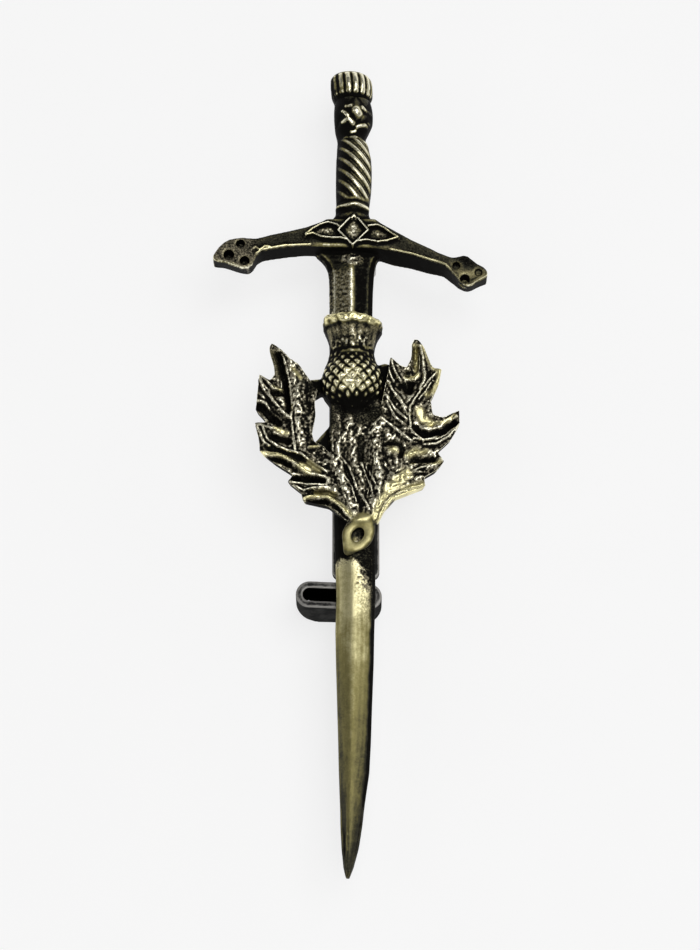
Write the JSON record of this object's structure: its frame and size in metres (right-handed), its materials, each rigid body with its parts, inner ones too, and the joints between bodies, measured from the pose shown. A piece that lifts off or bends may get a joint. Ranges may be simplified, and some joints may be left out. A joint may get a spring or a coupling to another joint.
{
  "type": "sword kilt pin",
  "caption": "Cast sword-shaped kilt pin with a thistle and leaf spray across its blade, and a pin stem and open catch behind.",
  "frame": {"origin": "under the middle of the overall box, on the plane that the pin rests on, face up", "axes": "+Y from the blade's point to the pommel, +Z out of the ornamented front"},
  "size_m": [0.031, 0.0944, 0.0112],
  "materials": {
    "antique_brass": "antiqued cast brass, near-black patina in the recesses, worn satin on the blade",
    "worn_brass": "antiqued cast brass, near-black patina in the recesses, rubbed bright on the raised edges",
    "dark_steel": "blackened steel strip with worn edges",
    "pin_steel": "drawn steel wire, satin"
  },
  "bodies": {
    "root": {"sword": "antique_brass", "thistle_spray": "worn_brass", "back_plate": "dark_steel", "catch": "dark_steel", "pin": "pin_steel"}
  },
  "joints": []
}
